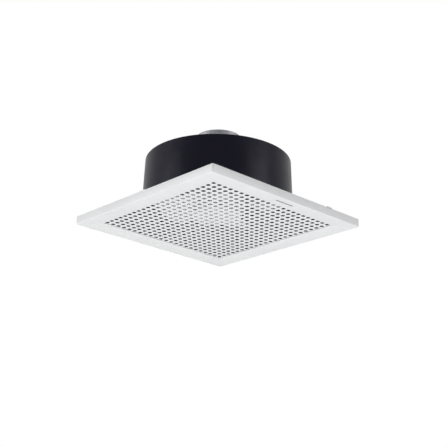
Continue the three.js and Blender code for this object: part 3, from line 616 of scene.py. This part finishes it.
make_piece("housing_moulded", *housing(), "black", "housing", "black_plastic",
           ["housing_shell"])
make_piece("bellmouth_moulded", *bellmouth(), "matt", "housing", "black_plastic",
           ["inlet_ring"])
make_piece("guard_moulded", *guard(), "grained", "housing", "black_plastic",
           ["discharge_guard"])


# ---- the motor -----------------------------------------------------------------------

def can_lower():
    """A drawn cup with a flange round its mouth and a bearing seat in its floor."""
    low, high = can_low[2], can_high[2]
    inner = MOTOR_RADIUS - MOTOR_WALL
    floor = low + MOTOR_WALL
    return lathe(filleted(
        [(SHAFT_RADIUS + 1, low), (MOTOR_RADIUS, low), (MOTOR_RADIUS, high - MOTOR_WALL),
         (MOTOR_FLANGE_RADIUS, high - MOTOR_WALL), (MOTOR_FLANGE_RADIUS, high), (inner, high),
         (inner, floor), (BEARING_SEAT + 1.5, floor), (BEARING_SEAT + 1.5, floor + 5),
         (BEARING_SEAT, floor + 5), (BEARING_SEAT, floor), (SHAFT_RADIUS + 1, floor)],
        [0.3, 3.4, 0.8, 0.5, 0.5, 0.8, 2.4, 0.4, 0.4, 0.3, 0.2, 0.3], 6), 128)


def can_upper():
    """A drawn cap with a small rounded shoulder, a low bearing boss and a flange."""
    boss_height, bend, ease = 1.6, 2, 0.4
    low, top = cap_low[2], cap_high[2] - boss_height
    inner = MOTOR_RADIUS - MOTOR_WALL
    ceiling = top - MOTOR_WALL
    shoulder = [(MOTOR_RADIUS - bend + bend * math.cos(a), top - bend + bend * math.sin(a))
                for a in np.linspace(0, math.pi / 2, 10)]
    boss = [(12.6 - 0.8 * k / 4, top + 0.1 * (k / 4) ** 2) for k in range(4)]
    boss += [(11.2 - 0.9 * math.cos(a), top + boss_height - 1.2 * (1 - math.sin(a)))
             for a in np.linspace(-math.pi / 6, math.pi / 2, 6)]
    inside = [(0, ceiling), (BEARING_SEAT, ceiling), (BEARING_SEAT, ceiling - 8),
              (BEARING_SEAT + 1.5, ceiling - 8), (BEARING_SEAT + 1.5, ceiling),
              (inner - 2, ceiling), (inner - 0.6, ceiling - 0.6), (inner, ceiling - 2),
              (inner, low)]
    plate = low + MOTOR_WALL
    flange = [(MOTOR_FLANGE_RADIUS - ease, low), (MOTOR_FLANGE_RADIUS, low + ease),
              (MOTOR_FLANGE_RADIUS, plate - ease), (MOTOR_FLANGE_RADIUS - ease, plate),
              (MOTOR_RADIUS + 0.9, plate), (MOTOR_RADIUS + 0.25, plate + 0.25),
              (MOTOR_RADIUS, plate + 0.9)]
    return dome(inside + flange + shoulder + boss + [(0, top + boss_height)], 128)


def shaft():
    """A ground rod with a chamfer at both ends."""
    low, high = heights("motor_shaft")
    chamfer = 0.6
    end = SHAFT_RADIUS - chamfer
    return dome([(0, low), (end, low), (SHAFT_RADIUS, low + chamfer),
                 (SHAFT_RADIUS, high - chamfer), (end, high), (0, high)], 48)


make_piece("motor_cup_drawn", *can_lower(), "can", "housing", "motor_steel",
           ["motor_can_lower"])
make_piece("motor_cap_drawn", *can_upper(), "can", "housing", "motor_steel",
           ["motor_can_upper"])
make_piece("shaft_ground", *shaft(), "ground", "rotor", "zinc_steel", ["motor_shaft"])


# ---- the impeller --------------------------------------------------------------------

def impeller_body():
    """The hub cup with its recess and boss, inner ribs, and five twisted blades."""
    face, top = hub_low[2], hub_high[2]
    web, wall = face + 2.4, 2
    recess, recess_floor = HUB_CAP_RADIUS + GAP, 20.4
    bore, boss, boss_top = SHAFT_RADIUS + GAP, 9, 36
    hub = lathe(filleted(
        [(recess, face), (HUB_RADIUS, face), (HUB_RADIUS, top), (HUB_RADIUS - wall, top),
         (HUB_RADIUS - wall, web), (recess + wall, web), (recess + wall, recess_floor + wall),
         (boss, recess_floor + wall), (boss, boss_top), (bore, boss_top), (bore, recess_floor),
         (recess, recess_floor)],
        [0.5, 3.2, 0.5, 0.5, 1.6, 0.6, 0.8, 0.8, 0.5, 0.3, 0.3, 0.5], 6), 144)
    step = 360 / BLADES
    blade = impeller_blade()
    blades = [turned_by(blade, step * k) for k in range(BLADES)]
    rib_inside, rib_outside = recess + 1.5, HUB_RADIUS - 1.4
    rib_width, rib_low, rib_high = 1.6, 15.5, 30
    ribs = []
    for k in range(BLADES):
        degrees = step * (k + 0.5)
        start, end = on_circle(rib_inside, degrees), on_circle(rib_outside, degrees)
        ribs.append(bar(start, end, rib_width, rib_low, rib_high, 0.4))
    return join(hub, *blades, *ribs)


def cap_disc():
    """A plain disc with a rounded rim that closes the hub's recess."""
    low, high = heights("hub_cap")
    radius, bend = HUB_CAP_RADIUS, 1.4
    rim = [(radius - bend + bend * math.cos(a), low + bend + bend * math.sin(a))
           for a in np.linspace(-math.pi / 2, 0, 7)]
    return dome([(0, low), *rim, (radius, high), (0, high)], 72)


make_piece("impeller_moulded", *impeller_body(), "impeller", "rotor", "white_plastic",
           ["impeller"])
make_piece("hub_cap_moulded", *cap_disc(), "impeller", "rotor", "white_plastic", ["hub_cap"])


# ---- sockets and screws --------------------------------------------------------------

SOCKET_BORE, SOCKET_SLEEVE, SOCKET_COLLAR = PEG_RADIUS + GAP, 6.4, 9
for index, (sx, sy) in enumerate(CORNERS):
    node = f"peg_socket_{index + 1}"
    low, high = heights(node)
    collar_top = low + 1.6
    outline = filleted(
        [(SOCKET_BORE, low), (SOCKET_COLLAR, low), (SOCKET_COLLAR, collar_top),
         (SOCKET_SLEEVE, collar_top), (SOCKET_SLEEVE, high), (SOCKET_BORE, high)],
        [0.3, 0.5, 0.5, 0.5, 0.5, 0.5], 4)
    make_piece(f"socket_moulded_{index + 1}",
               *lathe(outline, 48, (sx * PEG_OFFSET, sy * PEG_OFFSET)),
               "grained", "housing", "black_plastic", [node])

# For each family of screws: how many, then head radius, shank radius and shank length.
SCREWS = {
    "flange_screw": (4, 3.2, 1.6, 5), "motor_screw": (4, 3.4, 1.7, 9.5),
    "cover_screw": (2, 2.6, 1.2, 9)}
for family, (count, head, shank, length) in SCREWS.items():
    for index in range(1, count + 1):
        low, high = low_high(f"{family}_{index}")
        middle = (low + high) / 2
        seat = high[2] - head * HEAD_HEIGHT
        make_piece(f"{family}_crosshead_{index}",
                   *pan_screw(middle[0], middle[1], seat, head, shank, length),
                   "zinc", "housing", "zinc_steel", [f"{family}_{index}"])


# ---- the terminal box ----------------------------------------------------------------

BOX_TURN = 45          # degrees round from +X
BOX_CENTRE = 81        # distance from the fan's axis
BOX_HALF = (19, 28)
BOX_CORNER = 3


def boxed(profile, half, corner, steps=6):
    """An (inset, height) outline carried round a rectangle with rounded corners, ends capped.

    Each point of the outline gives one loop, set in from the rectangle by its inset. The corner
    radius shrinks by the same inset, and a flat face closes the first loop and the last.
    """
    profile = np.asarray(profile, float)
    radius = np.maximum(corner - profile[:, 0], LEAST_CORNER)[:, None]
    angle, sign_x, sign_y = four_corners(steps)
    inset = profile[:, :1]
    x = (half[0] - inset - radius) * sign_x + radius * np.cos(angle)
    y = (half[1] - inset - radius) * sign_y + radius * np.sin(angle)
    z = np.broadcast_to(profile[:, 1:], x.shape)
    points = np.stack([x, y, z], axis=2).reshape(-1, 3) * MM
    count, around = x.shape
    walls = grid_faces(count, around, False, True)
    start = tuple(range(around - 1, -1, -1))
    end = tuple(range((count - 1) * around, count * around))
    return outward(points, [*walls.tolist(), start, end])


def at_box(part):
    """Carries a part from the fan's axis out to the terminal box."""
    points, faces = part
    return turned_by((points + np.array([BOX_CENTRE * MM, 0, 0]), faces), BOX_TURN)


def laid_along(part, start, height):
    """Lays a part that was turned about Z down along X, from a start at a given height."""
    points, faces = part
    laid = np.stack([points[:, 2] + start * MM, points[:, 1], height * MM - points[:, 0]], axis=1)
    return outward(laid, faces)


def box_tray():
    """The open box: eased outside edges, a flat rim and an inside that tapers to its floor."""
    low, high = heights("terminal_box")
    outline = [(1.2, low), (0.35, low + 0.35), (0, low + 1.2), (0, high - 0.4), (0.4, high),
               (1.7, high), (2.0, high - 0.3), (2.0, low + 3.2), (2.4, low + 2.4), (3.2, low + 2)]
    return at_box(boxed(outline, BOX_HALF, BOX_CORNER))


def box_cover():
    """The lid: a flat plate with an eased top edge and a raised panel in its middle."""
    low, high = heights("terminal_cover")
    outline = [(0.3, low), (0, low + 0.3), (0, high - 0.9), (0.3, high - 0.5), (0.8, high - 0.35),
               (5.6, high - 0.35), (5.9, high - 0.25), (6.2, high)]
    return at_box(boxed(outline, BOX_HALF, BOX_CORNER))


def gland():
    """A neck, a grip nut whose radius rises and falls twelve times round, and a domed end."""
    start, axis_height = 95.6, sum(heights("cable_gland")) / 2
    outline = filleted(
        [(3.6, 0), (6, 0), (6, 4.8), (8.3, 4.8), (8.3, 9.2), (7, 11.2), (6, 14.4), (3.6, 14.4)],
        [0.3, 0.3, 0.2, 0.5, 0.8, 0.8, 1.2, 0.8], 5)
    points, faces = lathe(outline, 144)
    radius = np.hypot(points[:, 0], points[:, 1]) / MM
    angle = np.arctan2(points[:, 1], points[:, 0])
    grip = np.clip((radius - 6.4) / 1.2, 0, 1) * 0.35 * (1 - np.cos(12 * angle)) / 2
    scale = (radius - grip) / radius
    points = points * np.column_stack([scale, scale, np.ones_like(scale)])
    return turned_by(laid_along((points, faces), start, axis_height), BOX_TURN)


def lead():
    """A sleeve with a shallow ridge every 1.4 mm, from inside the can to inside the box."""
    start, end = MOTOR_RADIUS - 3, BOX_CENTRE - BOX_HALF[0] + 5
    axis_height = sum(heights("motor_lead")) / 2
    ridge = 1.4
    along = np.linspace(0, end - start, 8 * round((end - start) / ridge) + 1)
    radius = 2.5 + 0.1 * np.cos(2 * np.pi * along / ridge)
    outline = [(0, 0), *np.column_stack([radius, along]).tolist(), (0, end - start)]
    return turned_by(laid_along(dome(outline, 40), start, axis_height), BOX_TURN)


make_piece("terminal_tray_moulded", *box_tray(), "grained", "housing", "black_plastic",
           ["terminal_box"])
make_piece("terminal_lid_moulded", *box_cover(), "grained", "housing", "black_plastic",
           ["terminal_cover"])
make_piece("cable_gland_moulded", *gland(), "grained", "housing", "black_plastic",
           ["cable_gland"])
make_piece("motor_lead_sleeved", *lead(), "sleeve", "housing", "grey_plastic", ["motor_lead"])


# ---- finishes of the pieces kept from the frame ---------------------------------------

KEPT = {
    "matt": ["mounting_flange"],
    "white": ["rim_lug_front", "rim_lug_rear"],
    "grey": ["sheet_retainer_1", "sheet_retainer_2", "sheet_retainer_3", "sheet_retainer_4",
             "run_capacitor"],
    "badge": ["badge_bar"],
    "spring": ["catch_left", "catch_right"],
    "zinc": ["catch_bracket_left", "catch_bracket_right", "bearing_lower", "bearing_upper"],
    "laminated": ["stator_core", "rotor_core"],
    "copper": ["winding_lower", "winding_upper"],
    "brass": ["impeller_nut", "earth_screw"],
    "resin": ["terminal_block"],
}
for finish, names in KEPT.items():
    for name in names:
        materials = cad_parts[name].data.materials
        materials.clear()
        materials.append(FINISH[finish])


# ---- floor, light and camera ---------------------------------------------------------

def stage_floor():
    """A broad, flat, square sheet far below the fan."""
    reach, low, count = 9.0, -1.6, 41
    steps = np.linspace(-reach, reach, count)
    x, y = np.meshgrid(steps, steps, indexing="ij")
    points = np.stack([x, y, np.full(x.shape, low)], axis=2).reshape(-1, 3)
    mesh = bpy.data.meshes.new("floor")
    mesh.from_pydata(points.tolist(), [], grid_faces(count, count, False, False).tolist())
    paint = surface_finish("floor_pale_paint", ("#E9E9E8", "#EEEEED"), 900, (0.7, 0.8), 400,
                           60, 0.05, IOR=1.45)
    mesh.materials.append(paint)
    floor = bpy.data.objects.new("floor", mesh)
    bpy.context.scene.collection.objects.link(floor)


def studio_world():
    """A white backdrop for the eye; as light it is bright behind the fan and dim before it."""
    world = bpy.data.worlds.new("studio")
    world.use_nodes = True
    tree = world.node_tree
    tree.nodes.clear()
    path = add_node(tree, "ShaderNodeLightPath")
    seen = add_node(tree, "ShaderNodeBackground", {"Color": (1, 1, 1, 1), "Strength": 1.0})
    direction = add_node(tree, "ShaderNodeTexCoord").outputs["Generated"]
    backwards = (0.707, 0.707, 0.0)
    depth = add_node(
        tree, "ShaderNodeVectorMath", {1: backwards}, {0: direction},
        operation="DOT_PRODUCT").outputs["Value"]
    strength = add_node(
        tree, "ShaderNodeMapRange",
        {"From Min": -0.5, "From Max": 0.7, "To Min": 0.24, "To Max": 0.45},
        {"Value": depth}).outputs["Result"]
    soft = add_node(
        tree, "ShaderNodeBackground", {"Color": (1, 1, 1, 1)}, {"Strength": strength})
    mix = add_node(
        tree, "ShaderNodeMixShader",
        links={0: path.outputs["Is Camera Ray"], 1: soft.outputs[0], 2: seen.outputs[0]})
    add_node(tree, "ShaderNodeOutputWorld", links={"Surface": mix.outputs[0]})
    bpy.context.scene.world = world


def softbox(name, place, target, size, power):
    """A square area light at a place in metres, facing a target."""
    light = bpy.data.lights.new(name, "AREA")
    light.size = size
    light.energy = power
    lamp = bpy.data.objects.new(name, light)
    lamp.location = place
    aim = Vector(target) - Vector(place)
    lamp.rotation_euler = aim.to_track_quat("-Z", "Y").to_euler()
    lamp.visible_camera = False
    bpy.context.scene.collection.objects.link(lamp)


def studio_camera():
    """The camera below the ceiling line, looking up at the panel's near corner."""
    camera = bpy.data.cameras.new("camera")
    camera.sensor_width = 36
    camera.lens = 78.94
    camera.shift_x = 0.0174
    camera.shift_y = -0.0031
    camera.clip_end = 60
    eye = bpy.data.objects.new("camera", camera)
    eye.location = (-0.9459, -1.0102, -0.4821)
    eye.rotation_euler = Euler([math.radians(d) for d in (109.42, -1.13, -43.44)])
    bpy.context.scene.collection.objects.link(eye)
    bpy.context.scene.camera = eye


stage_floor()
studio_world()
middle = (0.0, 0.0, 0.06)
softbox("below", (-0.3, -0.3, -1.35), middle, 1.6, 16)
softbox("left", (-1.9, 0.95, 0.4), middle, 1.2, 21)
softbox("right", (0.7, -1.9, 0.5), middle, 1.2, 11.5)
softbox("above_behind", (0.9, 0.9, 1.6), middle, 1.6, 20)
studio_camera()

scene = bpy.context.scene
scene.view_settings.view_transform = "Standard"
scene.view_settings.look = "None"
